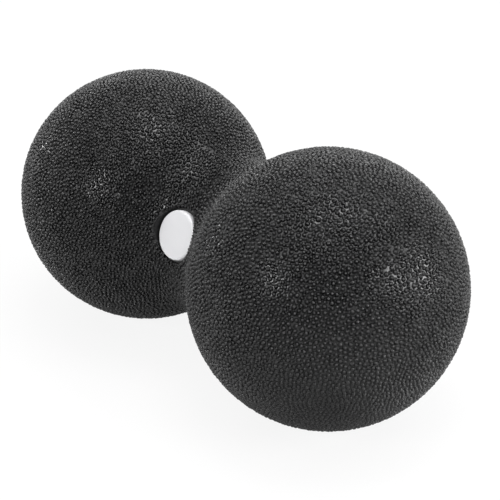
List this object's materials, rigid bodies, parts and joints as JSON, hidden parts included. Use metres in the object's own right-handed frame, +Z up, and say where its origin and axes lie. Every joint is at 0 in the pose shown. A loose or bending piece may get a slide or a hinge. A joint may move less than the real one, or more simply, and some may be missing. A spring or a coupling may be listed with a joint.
{
  "type": "peanut massage ball",
  "caption": "Peanut-shaped massage ball of firm foam with a pebbled skin, a narrow waist that clears the spine, and a plain round badge set into the waist.",
  "frame": {"origin": "centre of the bounding box's bottom face, straight below the middle of the waist", "axes": "+X along the long axis through both balls' centres; -Y is the side with the badge, which faces 23 degrees above level; +Z up"},
  "size_m": [0.24, 0.12, 0.12],
  "materials": {
    "foam": "moulded expanded foam with a raised pebble grain, satin",
    "badge": "smooth white moulded plastic, satin"
  },
  "bodies": {
    "root": {"foam_body": "foam", "badge_disc": "badge"}
  },
  "joints": []
}
